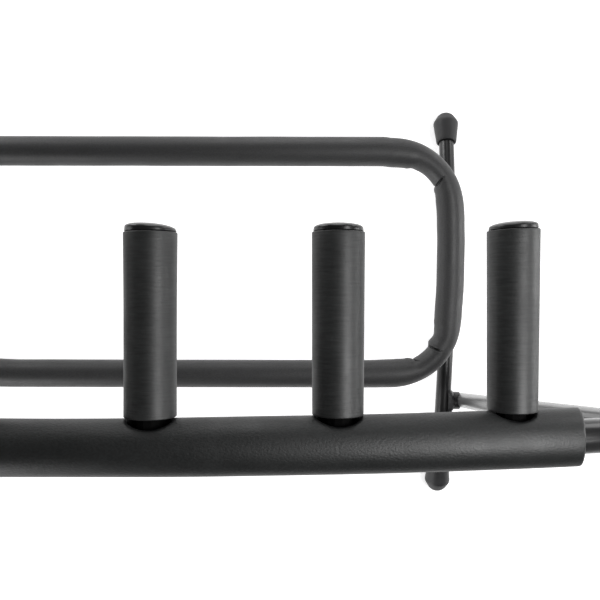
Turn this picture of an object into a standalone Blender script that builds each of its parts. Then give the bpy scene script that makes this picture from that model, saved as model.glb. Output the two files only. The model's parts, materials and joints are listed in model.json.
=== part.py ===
"""Folding guitar rack for five guitars, in metres, +Z up, front towards -Y.

Two arched foot tubes stand on rubber caps and carry a foam-covered cradle loop on four short posts.
A bent tube with a foam-covered, arched neck bar and six padded pegs turns on the foot tubes, so that
it folds forward. Its joints have two plastic saddles each, with a lug in an arc slot as end stop.
"""

import math

import bmesh
import bpy
from mathutils import Matrix, Vector

# Tubes, foam and fits
TUBE_OD = 0.020
TUBE_WALL = 0.0012
CRADLE_FOAM_WALL = 0.0062
NECK_FOAM_WALL = 0.0055
GAP = 0.0003
FOAM_RIM = 0.0015

# Foot tubes: an arc in a nearly fore-and-aft plane, with straight ends inside the rubber caps.
# The span lies between the mouths of the caps
FOOT_SPREAD = 0.3244
FOOT_SPAN = 0.4362
FOOT_TOE_OUT = 0.0226
FOOT_ARC_RADIUS = 0.767

# Rubber caps of the foot tubes
CAP_LENGTH = 0.0444
CAP_BORE_DEPTH = 0.028
CAP_MOUTH_WALL = 0.0028
CAP_LIP_HEIGHT = 0.0004
CAP_LIP_LENGTH = 0.0030
CAP_FLARE_RADIUS = 0.0171
CAP_FLARE_AT = 0.0268
CAP_DOME_POWER = 1.18
CAP_FLAT_DEPTH = 0.0010

# Cradle loop that carries the guitar bodies
CRADLE_INSET = 0.0156
CRADLE_FRONT_Y = -0.1771
CRADLE_REAR_Y = 0.0873
CRADLE_FRONT_HEIGHT = 0.163
CRADLE_REAR_HEIGHT = 0.141
CRADLE_CORNER = 0.070
JOINER_LENGTH = 0.080

# Posts between the foot tubes and the cradle
POST_OD = 0.016
POST_YS = {"front": -0.085, "rear": 0.002}
POST_INSERT_LENGTH = 0.018
POST_INSERT_RECESS = 0.0005

# Bolts
BOLT_OD = 0.006
BOLT_HEAD_FLATS = 0.010
BOLT_HEAD_HEIGHT = 0.004
BOLT_FLANGE_OD = 0.013
BOLT_FLANGE = 0.0012
PIVOT_HEAD_OD = 0.012
PIVOT_HEAD_HEIGHT = 0.0036
PIVOT_SOCKET_FLATS = 0.004
PIVOT_SOCKET_DEPTH = 0.0022

# Fold joint: the two saddles between a foot tube and a leg
PIVOT_Y = 0.1328
FOOT_SADDLE_WEB = 0.0033
FOOT_SADDLE_HUG = 0.0050
FOOT_SADDLE_LENGTH = 0.030
FOOT_SADDLE_TALL = 0.023
FOOT_SADDLE_SQUARENESS = 0.45
LEG_SADDLE_WEB = 0.0031
LEG_SADDLE_HUG = 0.0040
SADDLE_FACE_OD = 0.0235
STOP_TRACK_RADIUS = 0.0080
STOP_LUG_WIDTH = 0.0022
STOP_LUG_HEIGHT = 0.0012
STOP_LUG_HALF_ANGLE = math.radians(10)
INSERT_OD = 0.0084
INSERT_LENGTH = 0.012
INSERT_FLANGE_OD = 0.0108
INSERT_FLANGE = 0.0008
PIVOT_WASHER_OD = 0.014
PIVOT_WASHER_HUG = 0.0015
PIVOT_WASHER_WEB = 0.0020
FOLD_RANGE = math.radians(76)

# Neck frame: an arched bar in an upright plane and two legs that lean forward
NECK_Y = 0.0761
NECK_HEIGHT = 0.640
NECK_ARC_RADIUS = 1.277
NECK_SHOULDER = 0.0467
NECK_BEND_RADIUS = 0.065
NECK_BARE_END = 0.0171
LEG_TAIL = 0.016
LEG_PLUG_HEAD = 0.0030
LEG_PLUG_RIM = 0.0012
LEG_PLUG_STEM = 0.0080

# Pegs
PEG_COUNT = 6
PEG_END_MARGIN = 0.0351
PEG_TILT = math.radians(0.5)
PEG_REACH = 0.1198
PEG_TUBE_OD = 0.016
PEG_TUBE_WALL = 0.0012
PEG_FOAM_OD = 0.0281
PEG_HOLE_OD = 0.0238
PEG_CAP_OD = 0.0271
PEG_CAP_HEIGHT = 0.0045
PEG_CAP_RIM = 0.0021
PEG_CAP_STEM = 0.010

# Facets
TUBE_SIDES = 12
HIDDEN_SIDES = 10
SMALL_SIDES = 12
ARCH_STEPS = 10
BEND_STEPS = 6
CORNER_STEPS = 5
FOOT_STEP = 0.072
SLOT_STEPS = 8
LUG_STEPS = 2
CAP_DOME_DEGREES = (25, 48, 70)
BOLT_DOME_DEGREES = (12, 45, 70)
PEG_CAP_DOME_DEGREES = (35, 65)
SMOOTH_ANGLE = math.radians(38)

# Sizes that follow from those above
TUBE_R = TUBE_OD / 2
TUBE_BORE_R = TUBE_R - TUBE_WALL
SEAT_R = TUBE_R + GAP
CRADLE_FOAM_R = SEAT_R + CRADLE_FOAM_WALL
NECK_FOAM_R = SEAT_R + NECK_FOAM_WALL
BOLT_R = BOLT_OD / 2
BOLT_HOLE_R = BOLT_R + GAP
FOOT_END_Y = FOOT_SPAN / 2
FOOT_END_SLOPE = math.asin(FOOT_END_Y / FOOT_ARC_RADIUS)
CRADLE_SPREAD = FOOT_SPREAD - CRADLE_INSET
FORWARD = Vector((0, -1, 0))
UP = Vector((0, 0, 1))


def clear_scene():
    for obj in list(bpy.data.objects):
        bpy.data.objects.remove(obj, do_unlink=True)


def material(name, colour, roughness, metallic):
    made = bpy.data.materials.new(name)
    made.use_nodes = True
    shader = made.node_tree.nodes["Principled BSDF"]
    shader.inputs["Base Color"].default_value = (*colour, 1)
    shader.inputs["Roughness"].default_value = roughness
    shader.inputs["Metallic"].default_value = metallic
    made.diffuse_color = (*colour, 1)
    return made


def frame_on(origin, along, side_hint):
    """The matrix whose Z runs along a direction and whose X lies nearest to side_hint."""
    z = along.normalized()
    y = z.cross(side_hint).normalized()
    x = y.cross(z)
    return Matrix.Translation(origin) @ Matrix((x, y, z)).transposed().to_4x4()


def corner_radius(radius, sides):
    """The radius of the corners of a polygon whose flats lie at the given radius."""
    return radius / math.cos(math.pi / sides)


def ring(bm, matrix, radius, sides, z=0.0):
    """A circle of points around the matrix's Z axis."""
    turns = (2 * math.pi * k / sides for k in range(sides))
    return [bm.verts.new(matrix @ Vector((radius * math.cos(a), radius * math.sin(a), z))) for a in turns]


def bridge(bm, first, second):
    """Quads between two rings of equal count."""
    count = len(first)
    for k in range(count):
        n = (k + 1) % count
        bm.faces.new((first[k], first[n], second[n], second[k]))


def sweep(bm, points, outer_radii, bore_radius, sides):
    """A hollow tube along the points, one outer radius for each, with flat ends. A bore of 0 makes a rod.

    The bore's flats lie at its radius, so that a round piece of that size passes.
    """
    tangents = []
    for k in range(len(points)):
        before = points[max(k - 1, 0)]
        after = points[min(k + 1, len(points) - 1)]
        tangents.append((after - before).normalized())
    hint = tangents[0].orthogonal()
    outer = []
    inner = []
    for point, tangent, radius in zip(points, tangents, outer_radii):
        matrix = frame_on(point, tangent, hint)
        hint = matrix.to_3x3() @ Vector((1, 0, 0))
        outer.append(ring(bm, matrix, radius, sides))
        if bore_radius:
            inner.append(ring(bm, matrix, corner_radius(bore_radius, sides), sides))
    for first, second in zip(outer, outer[1:]):
        bridge(bm, first, second)
    if not bore_radius:
        bm.faces.new(outer[0][::-1])
        bm.faces.new(outer[-1])
        return
    for first, second in zip(inner, inner[1:]):
        bridge(bm, second, first)
    bridge(bm, inner[0], outer[0])
    bridge(bm, outer[-1], inner[-1])


def tube(bm, points, outer, bore, sides):
    sweep(bm, points, [outer] * len(points), bore, sides)


def drill(bm, start, end, radius, sides=SMALL_SIDES):
    """A rod to cut with, whose flats lie at the radius."""
    tube(bm, [start, end], corner_radius(radius, sides), 0, sides)


def revolve(bm, matrix, profile, sides, through=False):
    """A solid of revolution about the matrix's Z from (radius, z) points. Through closes a profile with a bore."""
    loops = []
    for radius, z in profile:
        if radius:
            loops.append(ring(bm, matrix, radius, sides, z))
        else:
            loops.append([bm.verts.new(matrix @ Vector((0, 0, z)))])
    pairs = list(zip(loops, loops[1:]))
    if through:
        pairs.append((loops[-1], loops[0]))
    for first, second in pairs:
        if len(first) == len(second):
            bridge(bm, first, second)
            continue
        point = (first if len(first) == 1 else second)[0]
        circle = second if len(first) == 1 else first
        for k in range(sides):
            n = (k + 1) % sides
            bm.faces.new((point, circle[n], circle[k]) if len(first) == 1 else (circle[k], circle[n], point))


def finish(name, bm, coat=None, parent=None):
    """Makes the object. Its points are world points, also under the parent empty."""
    bmesh.ops.recalc_face_normals(bm, faces=bm.faces)
    mesh = bpy.data.meshes.new(name)
    bm.to_mesh(mesh)
    bm.free()
    obj = bpy.data.objects.new(name, mesh)
    bpy.context.scene.collection.objects.link(obj)
    if parent:
        mesh.transform(Matrix.Translation(-parent.location))
        obj.parent = parent
    if coat:
        mesh.materials.append(coat)
        mesh.shade_smooth()
        mesh.set_sharp_from_angle(angle=SMOOTH_ANGLE)
    return obj


def cut(obj, name, bm):
    """Takes the shapes in bm out of the object, with a hidden cutter."""
    cutter = finish(name, bm, parent=obj.parent)
    cutter.hide_render = True
    cutter.display_type = "WIRE"
    modifier = obj.modifiers.new(name, "BOOLEAN")
    modifier.operation = "DIFFERENCE"
    modifier.solver = "EXACT"
    modifier.object = cutter


def arc_between(corner, back, ahead, radius, steps):
    """Points of the fillet in the corner between two unit directions, from the back side to the ahead side."""
    half = back.angle(ahead) / 2
    centre = corner + (back + ahead).normalized() * (radius / math.sin(half))
    start = corner + back * (radius / math.tan(half)) - centre
    axis = ahead.cross(back).normalized()
    turn = math.pi - 2 * half
    return [centre + Matrix.Rotation(turn * k / steps, 3, axis) @ start for k in range(steps + 1)]


# Foot tubes and their caps


def cap_profile():
    """(radius, z) of a rubber cap from the bottom of its bore round to its tip, z from the mouth."""
    bore = corner_radius(SEAT_R, TUBE_SIDES)
    mouth = SEAT_R + CAP_MOUTH_WALL
    lip = mouth + CAP_LIP_HEIGHT
    dome = CAP_LENGTH - CAP_FLARE_AT
    points = [
        (0, CAP_BORE_DEPTH),
        (bore, CAP_BORE_DEPTH),
        (bore, 0),
        (lip, 0),
        (lip, CAP_LIP_LENGTH),
        (mouth, CAP_LIP_LENGTH + CAP_LIP_HEIGHT),
        (CAP_FLARE_RADIUS, CAP_FLARE_AT),
    ]
    for degrees in CAP_DOME_DEGREES:
        angle = math.radians(degrees)
        inward = math.cos(angle) ** CAP_DOME_POWER
        onward = math.sin(angle) ** CAP_DOME_POWER
        points.append((CAP_FLARE_RADIUS * inward, CAP_FLARE_AT + dome * onward))
    points.append((0, CAP_LENGTH))
    return points


def foot_crown():
    """Height of a foot tube's axis at its middle, with its caps' flats on the floor."""
    slope = FOOT_END_SLOPE
    reach = max(z * math.sin(slope) + radius * math.cos(slope) for radius, z in cap_profile())
    return FOOT_ARC_RADIUS * (1 - math.cos(slope)) + reach - CAP_FLAT_DEPTH


FOOT_CROWN = foot_crown()


def foot_point(side, y):
    """The foot tube's axis at y, on its arc."""
    drop = FOOT_ARC_RADIUS - math.sqrt(FOOT_ARC_RADIUS**2 - y**2)
    return Vector((side * (FOOT_SPREAD - FOOT_TOE_OUT * y), y, FOOT_CROWN - drop))


def foot_tangent(side, y):
    rise = -y / math.sqrt(FOOT_ARC_RADIUS**2 - y**2)
    return Vector((-side * FOOT_TOE_OUT, 1, rise)).normalized()


PIVOT = Vector((0, PIVOT_Y, foot_point(1, PIVOT_Y).z))
FOOT_FACE_X = foot_point(1, PIVOT_Y).x + TUBE_R
SADDLE_FACE_X = FOOT_FACE_X + GAP + FOOT_SADDLE_WEB
LEG_X = SADDLE_FACE_X + GAP + LEG_SADDLE_WEB + GAP + TUBE_R
NECK_ARC_LENGTH = 2 * (LEG_X - NECK_SHOULDER)
NECK_FOAM_LENGTH = NECK_ARC_LENGTH - 2 * NECK_BARE_END
PEG_PITCH = (NECK_FOAM_LENGTH - 2 * PEG_END_MARGIN) / (PEG_COUNT - 1)


def foot_path(side):
    """Points of the foot tube's axis, straight under each post and in each saddle, and inside the caps."""
    fixed = [-FOOT_END_Y, FOOT_END_Y, PIVOT_Y - FOOT_SADDLE_LENGTH / 2, PIVOT_Y + FOOT_SADDLE_LENGTH / 2]
    for y in POST_YS.values():
        fixed += [y - POST_OD / 2, y + POST_OD / 2]
    fixed.sort()
    points = [foot_point(side, fixed[0])]
    for start, stop in zip(fixed, fixed[1:]):
        steps = math.ceil((stop - start) / FOOT_STEP)
        points += [foot_point(side, start + (stop - start) * (k + 1) / steps) for k in range(steps)]
    seat = CAP_BORE_DEPTH - GAP
    first = points[0] - foot_tangent(side, points[0].y) * seat
    last = points[-1] + foot_tangent(side, points[-1].y) * seat
    return [first, *points, last]


def make_foot(side, label, coats):
    """A foot tube with the holes for its post bolts and for the insert of its pivot bolt."""
    bm = bmesh.new()
    tube(bm, foot_path(side), TUBE_R, TUBE_BORE_R, TUBE_SIDES)
    foot = finish(f"foot_tube_{label}", bm, coats["gloss"])
    holes = bmesh.new()
    for y in POST_YS.values():
        base, _, along = post_axis(side, y)
        drill(holes, base - along * TUBE_OD, base + along * TUBE_OD, BOLT_HOLE_R)
    axis_point = Vector((side * (FOOT_FACE_X - TUBE_R), PIVOT.y, PIVOT.z))
    drill(holes, axis_point, axis_point + Vector((side * TUBE_OD, 0, 0)), INSERT_OD / 2 + GAP)
    cut(foot, f"cut_foot_tube_{label}", holes)


def make_cap(side, label, end, end_label, coats):
    """A flared rubber cap, cut flat where it stands on the floor."""
    mouth = foot_point(side, end * FOOT_END_Y)
    outward = foot_tangent(side, mouth.y) * end
    bm = bmesh.new()
    revolve(bm, frame_on(mouth, outward, Vector((1, 0, 0))), cap_profile(), TUBE_SIDES)
    cap = finish(f"foot_cap_{end_label}_{label}", bm, coats["rubber"])
    block = bmesh.new()
    tip = mouth + outward * CAP_LENGTH
    size = 2 * CAP_LENGTH
    bmesh.ops.create_cube(block, size=size, matrix=Matrix.Translation((tip.x, tip.y, -size / 2)))
    cut(cap, f"cut_foot_cap_{end_label}_{label}", block)


# Cradle loop


def cradle_point(x, y):
    """A point of the cradle's sloping plane above (x, y)."""
    share = (y - CRADLE_FRONT_Y) / (CRADLE_REAR_Y - CRADLE_FRONT_Y)
    return Vector((x, y, CRADLE_FRONT_HEIGHT + share * (CRADLE_REAR_HEIGHT - CRADLE_FRONT_HEIGHT)))


def cradle_corner(side, end):
    """The bend between a side of the loop and its front (-1) or rear (1) bar, side first."""
    corner = cradle_point(side * CRADLE_SPREAD, CRADLE_FRONT_Y if end < 0 else CRADLE_REAR_Y)
    inward = Vector((-side, 0, 0))
    return arc_between(corner, cradle_slope() * -end, inward, CRADLE_CORNER, CORNER_STEPS)


def make_cradle(coats):
    """Two bent tube halves on inner joiners, inside one foam sleeve whose ends meet on the right side."""
    for side, label in ((-1, "left"), (1, "right")):
        front = cradle_point(side * GAP / 2, CRADLE_FRONT_Y)
        rear = cradle_point(side * GAP / 2, CRADLE_REAR_Y)
        path = [front, *cradle_corner(side, -1)[::-1], *cradle_corner(side, 1), rear]
        bm = bmesh.new()
        tube(bm, path, TUBE_R, TUBE_BORE_R, HIDDEN_SIDES)
        finish(f"cradle_tube_{label}", bm, coats["gloss"])
    for y, label in ((CRADLE_FRONT_Y, "front"), (CRADLE_REAR_Y, "rear")):
        half = Vector((JOINER_LENGTH / 2, 0, 0))
        middle = cradle_point(0, y)
        bm = bmesh.new()
        radius = TUBE_BORE_R - GAP
        tube(bm, [middle - half, middle + half], radius, radius - TUBE_WALL, HIDDEN_SIDES)
        finish(f"cradle_joiner_{label}", bm, coats["zinc"])

    seam_y = (CRADLE_FRONT_Y + CRADLE_REAR_Y) / 2
    loop = [
        cradle_point(CRADLE_SPREAD, seam_y + GAP / 2),
        *cradle_corner(1, 1),
        *cradle_corner(-1, 1)[::-1],
        *cradle_corner(-1, -1),
        *cradle_corner(1, -1)[::-1],
        cradle_point(CRADLE_SPREAD, seam_y - GAP / 2),
    ]
    bm = bmesh.new()
    tube(bm, loop, CRADLE_FOAM_R, SEAT_R, TUBE_SIDES)
    foam = finish("cradle_foam", bm, coats["foam"])
    holes = bmesh.new()
    for side in (-1, 1):
        for y in POST_YS.values():
            _, top, along = post_axis(side, y)
            drill(holes, top, top - along * 2 * CRADLE_FOAM_R, POST_OD / 2 + GAP, HIDDEN_SIDES)
    cut(foam, "cut_cradle_foam", holes)


# Posts


def cradle_slope():
    """The unit direction of the cradle's sides, front to rear."""
    return (cradle_point(0, CRADLE_REAR_Y) - cradle_point(0, CRADLE_FRONT_Y)).normalized()


def post_axis(side, y):
    """A post's two ends on the axes of the foot tube and of the cradle tube, square to the foot tube."""
    base = foot_point(side, y)
    square = foot_tangent(side, y)
    start = cradle_point(side * CRADLE_SPREAD, y)
    slope = cradle_slope()
    top = start + slope * ((base - start).dot(square) / slope.dot(square))
    return base, top, (top - base).normalized()


def make_post(side, label, y, end_label, coats):
    """A post coped to the foot tube below and to the cradle tube above."""
    base, top, _ = post_axis(side, y)
    bm = bmesh.new()
    tube(bm, [base, top], POST_OD / 2, POST_OD / 2 - TUBE_WALL, HIDDEN_SIDES)
    post = finish(f"cradle_post_{end_label}_{label}", bm, coats["gloss"])
    copes = bmesh.new()
    reach = POST_OD
    lower = foot_tangent(side, y) * reach
    upper = cradle_slope() * reach
    drill(copes, base - lower, base + lower, SEAT_R, 2 * SMALL_SIDES)
    drill(copes, top - upper, top + upper, SEAT_R, 2 * SMALL_SIDES)
    cut(post, f"cut_cradle_post_{end_label}_{label}", copes)


def make_post_fasteners(side, label, y, end_label, coats):
    """The flanged bolt from below and the threaded plug in the post's lower end."""
    base, _, along = post_axis(side, y)
    matrix = frame_on(base, along, Vector((1, 0, 0)))
    flange_top = -SEAT_R
    flange_bottom = flange_top - BOLT_FLANGE
    insert_bottom = SEAT_R + POST_INSERT_RECESS
    insert_top = insert_bottom + POST_INSERT_LENGTH

    plug_r = POST_OD / 2 - TUBE_WALL - GAP
    profile = [
        (BOLT_HOLE_R, insert_bottom),
        (plug_r, insert_bottom),
        (plug_r, insert_top),
        (BOLT_HOLE_R, insert_top),
    ]
    bm = bmesh.new()
    revolve(bm, matrix, profile, SMALL_SIDES, through=True)
    finish(f"post_insert_{end_label}_{label}", bm, coats["zinc"])

    bm = bmesh.new()
    hexagon = [ring(bm, matrix, BOLT_HEAD_FLATS / math.sqrt(3), 6, z)
               for z in (flange_bottom - BOLT_HEAD_HEIGHT, flange_bottom)]
    bm.faces.new(hexagon[0][::-1])
    bridge(bm, *hexagon)
    flange = [ring(bm, matrix, BOLT_FLANGE_OD / 2, SMALL_SIDES, z) for z in (flange_bottom, flange_top)]
    for k in range(6):
        low, middle, high = (flange[0][(2 * k + step) % SMALL_SIDES] for step in range(3))
        bm.faces.new((hexagon[1][k], hexagon[1][(k + 1) % 6], high, middle, low))
    bridge(bm, *flange)
    shank = [ring(bm, matrix, BOLT_R, SMALL_SIDES, z) for z in (flange_top, insert_top - GAP)]
    bridge(bm, flange[1], shank[0])
    bridge(bm, *shank)
    bm.faces.new(shank[1])
    finish(f"post_bolt_{end_label}_{label}", bm, coats["zinc"])


# Fold joints. A joint's own X runs outboard along the pivot axis


def joint_frame(side):
    """Z outboard along the pivot axis, X towards the front."""
    return frame_on(PIVOT, Vector((side, 0, 0)), FORWARD)


def slot_sector(bm, matrix, side, start, end, radius_in, radius_out, z_in, z_out, steps):
    """A block bent round the pivot axis, between two fold angles measured from straight down."""
    rows = []
    for k in range(steps + 1):
        fold = start + (end - start) * k / steps
        # Folding forward carries what hangs below the pivot to the rear.
        direction = Vector((-math.sin(fold), side * math.cos(fold), 0))
        row = [direction * r + Vector((0, 0, z)) for r, z in
               ((radius_in, z_in), (radius_out, z_in), (radius_out, z_out), (radius_in, z_out))]
        rows.append([bm.verts.new(matrix @ point) for point in row])
    for first, second in zip(rows, rows[1:]):
        bridge(bm, first, second)
    bm.faces.new(rows[0][::-1])
    bm.faces.new(rows[-1])


def make_foot_saddle(side, label, coats):
    """The saddle that hugs the foot tube and narrows to a round face with the arc slot."""
    matrix = joint_frame(side)
    count = 2 * SMALL_SIDES
    tangent = foot_tangent(side, PIVOT.y)
    turn = Matrix.Rotation(side * math.atan2(tangent.z, tangent.y), 3, "Z")
    bm = bmesh.new()
    loops = []
    inner_z = FOOT_FACE_X - FOOT_SADDLE_HUG
    for z, length, tall, power in (
        (inner_z, FOOT_SADDLE_LENGTH, FOOT_SADDLE_TALL, FOOT_SADDLE_SQUARENESS),
        (FOOT_FACE_X - GAP, FOOT_SADDLE_LENGTH, FOOT_SADDLE_TALL, FOOT_SADDLE_SQUARENESS),
        (SADDLE_FACE_X, SADDLE_FACE_OD, SADDLE_FACE_OD, 1.0),
    ):
        loop = []
        for k in range(count):
            a = 2 * math.pi * k / count
            along = math.copysign(abs(math.cos(a)) ** power, math.cos(a)) * length / 2
            across = math.copysign(abs(math.sin(a)) ** power, math.sin(a)) * tall / 2
            loop.append(bm.verts.new(matrix @ (turn @ Vector((along, across, 0)) + Vector((0, 0, z)))))
        loops.append(loop)
    bm.faces.new(loops[0][::-1])
    for first, second in zip(loops, loops[1:]):
        bridge(bm, first, second)
    bm.faces.new(loops[-1])
    saddle = finish(f"foot_saddle_{label}", bm, coats["plastic"])

    cuts = bmesh.new()
    seat = Vector((side * (FOOT_FACE_X - TUBE_R), PIVOT.y, PIVOT.z))
    reach = tangent * FOOT_SADDLE_LENGTH
    drill(cuts, seat - reach, seat + reach, SEAT_R, count)
    cut(saddle, f"cut_foot_saddle_seat_{label}", cuts)

    holes = bmesh.new()
    flange_top = FOOT_FACE_X + GAP + INSERT_FLANGE + GAP
    stepped = [
        (0, inner_z - GAP),
        (INSERT_FLANGE_OD / 2 + GAP, inner_z - GAP),
        (INSERT_FLANGE_OD / 2 + GAP, flange_top),
        (BOLT_HOLE_R, flange_top),
        (BOLT_HOLE_R, SADDLE_FACE_X + FOOT_SADDLE_WEB),
        (0, SADDLE_FACE_X + FOOT_SADDLE_WEB),
    ]
    revolve(holes, matrix, stepped, SMALL_SIDES)
    cut(saddle, f"cut_foot_saddle_hole_{label}", holes)

    slot = bmesh.new()
    play = STOP_LUG_HALF_ANGLE + GAP / STOP_TRACK_RADIUS
    half = STOP_LUG_WIDTH / 2 + GAP
    floor = SADDLE_FACE_X + GAP - STOP_LUG_HEIGHT - GAP
    slot_sector(slot, matrix, side, -play, FOLD_RANGE + play, STOP_TRACK_RADIUS - half,
                STOP_TRACK_RADIUS + half, floor, SADDLE_FACE_X + FOOT_SADDLE_WEB, SLOT_STEPS)
    cut(saddle, f"cut_foot_saddle_slot_{label}", slot)


def make_leg_saddle(side, label, coats, pivot):
    """The round saddle that turns with the leg, with the stop lug on its flat face."""
    matrix = joint_frame(side)
    face = SADDLE_FACE_X + GAP
    outer = LEG_X - TUBE_R + LEG_SADDLE_HUG
    radius = SADDLE_FACE_OD / 2
    bm = bmesh.new()
    profile = [(0, face), (radius, face), (radius, outer), (0, outer)]
    revolve(bm, matrix, profile, 2 * SMALL_SIDES)
    saddle = finish(f"leg_saddle_{label}", bm, coats["plastic"], pivot)

    lug = bmesh.new()
    half = STOP_LUG_WIDTH / 2
    slot_sector(lug, matrix, side, -STOP_LUG_HALF_ANGLE, STOP_LUG_HALF_ANGLE, STOP_TRACK_RADIUS - half,
                STOP_TRACK_RADIUS + half, face - STOP_LUG_HEIGHT, face + LEG_SADDLE_WEB / 2, LUG_STEPS)
    helper = finish(f"add_leg_saddle_lug_{label}", lug, parent=pivot)
    helper.hide_render = True
    helper.display_type = "WIRE"
    join = saddle.modifiers.new("lug", "BOOLEAN")
    join.operation = "UNION"
    join.solver = "EXACT"
    join.object = helper

    cuts = bmesh.new()
    along = leg_direction(side)
    seat = Vector((side * LEG_X, PIVOT.y, PIVOT.z))
    drill(cuts, seat - along * SADDLE_FACE_OD, seat + along * SADDLE_FACE_OD, SEAT_R, 2 * SMALL_SIDES)
    cut(saddle, f"cut_leg_saddle_seat_{label}", cuts)
    hole = bmesh.new()
    start = Vector((side * (face - LEG_SADDLE_WEB), PIVOT.y, PIVOT.z))
    drill(hole, start, start + Vector((side * 3 * LEG_SADDLE_WEB, 0, 0)), BOLT_HOLE_R)
    cut(saddle, f"cut_leg_saddle_hole_{label}", hole)


def make_pivot_fasteners(side, label, coats, pivot):
    """The bolt, its insert in the foot tube, and the hollowed washer on the leg."""
    matrix = joint_frame(side)
    insert_end = FOOT_FACE_X - INSERT_LENGTH
    flange_in = FOOT_FACE_X + GAP
    flange_out = flange_in + INSERT_FLANGE
    washer_in = LEG_X + TUBE_R - PIVOT_WASHER_HUG
    washer_out = LEG_X + TUBE_R + PIVOT_WASHER_WEB
    head_in = washer_out + GAP
    head_out = head_in + PIVOT_HEAD_HEIGHT
    head_r = PIVOT_HEAD_OD / 2

    bm = bmesh.new()
    profile = [
        (BOLT_HOLE_R, insert_end),
        (INSERT_OD / 2, insert_end),
        (INSERT_OD / 2, flange_in),
        (INSERT_FLANGE_OD / 2, flange_in),
        (INSERT_FLANGE_OD / 2, flange_out),
        (BOLT_HOLE_R, flange_out),
    ]
    revolve(bm, matrix, profile, SMALL_SIDES, through=True)
    finish(f"pivot_insert_{label}", bm, coats["zinc"])

    bm = bmesh.new()
    socket_bottom = head_out - PIVOT_SOCKET_DEPTH
    profile = [(0, insert_end), (BOLT_R, insert_end), (BOLT_R, head_in), (head_r, head_in)]
    for degrees in BOLT_DOME_DEGREES:
        angle = math.radians(degrees)
        profile.append((head_r * math.cos(angle), head_in + PIVOT_HEAD_HEIGHT * math.sin(angle)))
    profile.append((0, head_out))
    revolve(bm, matrix, profile, SMALL_SIDES)
    bolt = finish(f"pivot_bolt_{label}", bm, coats["zinc"])
    socket = bmesh.new()
    loops = [ring(socket, matrix, PIVOT_SOCKET_FLATS / math.sqrt(3), 6, z) for z in
             (socket_bottom, head_out + PIVOT_SOCKET_DEPTH)]
    socket.faces.new(loops[0][::-1])
    bridge(socket, *loops)
    socket.faces.new(loops[1])
    cut(bolt, f"cut_pivot_bolt_{label}", socket)

    bm = bmesh.new()
    profile = [
        (BOLT_HOLE_R, washer_in),
        (PIVOT_WASHER_OD / 2, washer_in),
        (PIVOT_WASHER_OD / 2, washer_out),
        (BOLT_HOLE_R, washer_out),
    ]
    revolve(bm, matrix, profile, TUBE_SIDES, through=True)
    washer = finish(f"pivot_washer_{label}", bm, coats["plastic"], pivot)
    cuts = bmesh.new()
    along = leg_direction(side) * PIVOT_WASHER_OD
    seat = Vector((side * LEG_X, PIVOT.y, PIVOT.z))
    drill(cuts, seat - along, seat + along, SEAT_R, 2 * SMALL_SIDES)
    cut(washer, f"cut_pivot_washer_{label}", cuts)


# Neck frame


def arch_frame(arc):
    """The neck bar's axis at an arc length from its middle: the matrix's X runs along the bar, Z up."""
    angle = arc / NECK_ARC_RADIUS
    centre = Vector((0, NECK_Y, NECK_HEIGHT - NECK_ARC_RADIUS))
    outward = Vector((math.sin(angle), 0, math.cos(angle)))
    return frame_on(centre + outward * NECK_ARC_RADIUS, outward, Vector((1, 0, 0)))


def arch_points():
    """Points of the bar's axis from one end of its foam to the other."""
    return [arch_frame(NECK_FOAM_LENGTH * (k / ARCH_STEPS - 0.5)).translation for k in range(ARCH_STEPS + 1)]


def neck_corner(side):
    """Where the bar's end line meets the leg's line, and the unit direction from there back along the bar."""
    end = arch_frame(side * NECK_ARC_LENGTH / 2)
    along = end.to_3x3() @ Vector((side, 0, 0))
    corner = end.translation + along * ((LEG_X - abs(end.translation.x)) / abs(along.x))
    return corner, -along


def leg_direction(side):
    """Down the leg, from the bend through the pivot axis."""
    corner = neck_corner(side)[0]
    return (Vector((side * LEG_X, PIVOT.y, PIVOT.z)) - corner).normalized()


def make_neck_tube(coats, pivot):
    """One tube, bent from the left leg over the arched bar to the right leg, with cross holes for the bolts."""
    halves = {}
    for side in (-1, 1):
        corner, back = neck_corner(side)
        down = leg_direction(side)
        bend = arc_between(corner, back, down, NECK_BEND_RADIUS, BEND_STEPS)
        arch_end = arch_frame(side * NECK_ARC_LENGTH / 2).translation
        halves[side] = [arch_end, *bend, Vector((side * LEG_X, PIVOT.y, PIVOT.z)) + down * LEG_TAIL]
    path = [*halves[-1][::-1], *arch_points(), *halves[1]]
    bm = bmesh.new()
    tube(bm, path, TUBE_R, TUBE_BORE_R, TUBE_SIDES)
    neck = finish("neck_frame_tube", bm, coats["gloss"], pivot)
    holes = bmesh.new()
    for side in (-1, 1):
        middle = Vector((side * LEG_X, PIVOT.y, PIVOT.z))
        across = Vector((TUBE_OD, 0, 0))
        drill(holes, middle - across, middle + across, BOLT_HOLE_R)
    cut(neck, "cut_neck_frame_tube", holes)


def make_leg_plug(side, label, coats, pivot):
    """The plug that closes a leg's lower end."""
    down = leg_direction(side)
    end = Vector((side * LEG_X, PIVOT.y, PIVOT.z)) + down * LEG_TAIL
    matrix = frame_on(end, down, Vector((1, 0, 0)))
    profile = [
        (0, -LEG_PLUG_STEM),
        (TUBE_BORE_R - GAP, -LEG_PLUG_STEM),
        (TUBE_BORE_R - GAP, GAP),
        (TUBE_R, GAP),
        (TUBE_R, LEG_PLUG_HEAD - LEG_PLUG_RIM),
        (TUBE_R - LEG_PLUG_RIM, LEG_PLUG_HEAD),
        (0, LEG_PLUG_HEAD),
    ]
    bm = bmesh.new()
    revolve(bm, matrix, profile, TUBE_SIDES)
    finish(f"leg_plug_{label}", bm, coats["plastic"], pivot)


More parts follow.
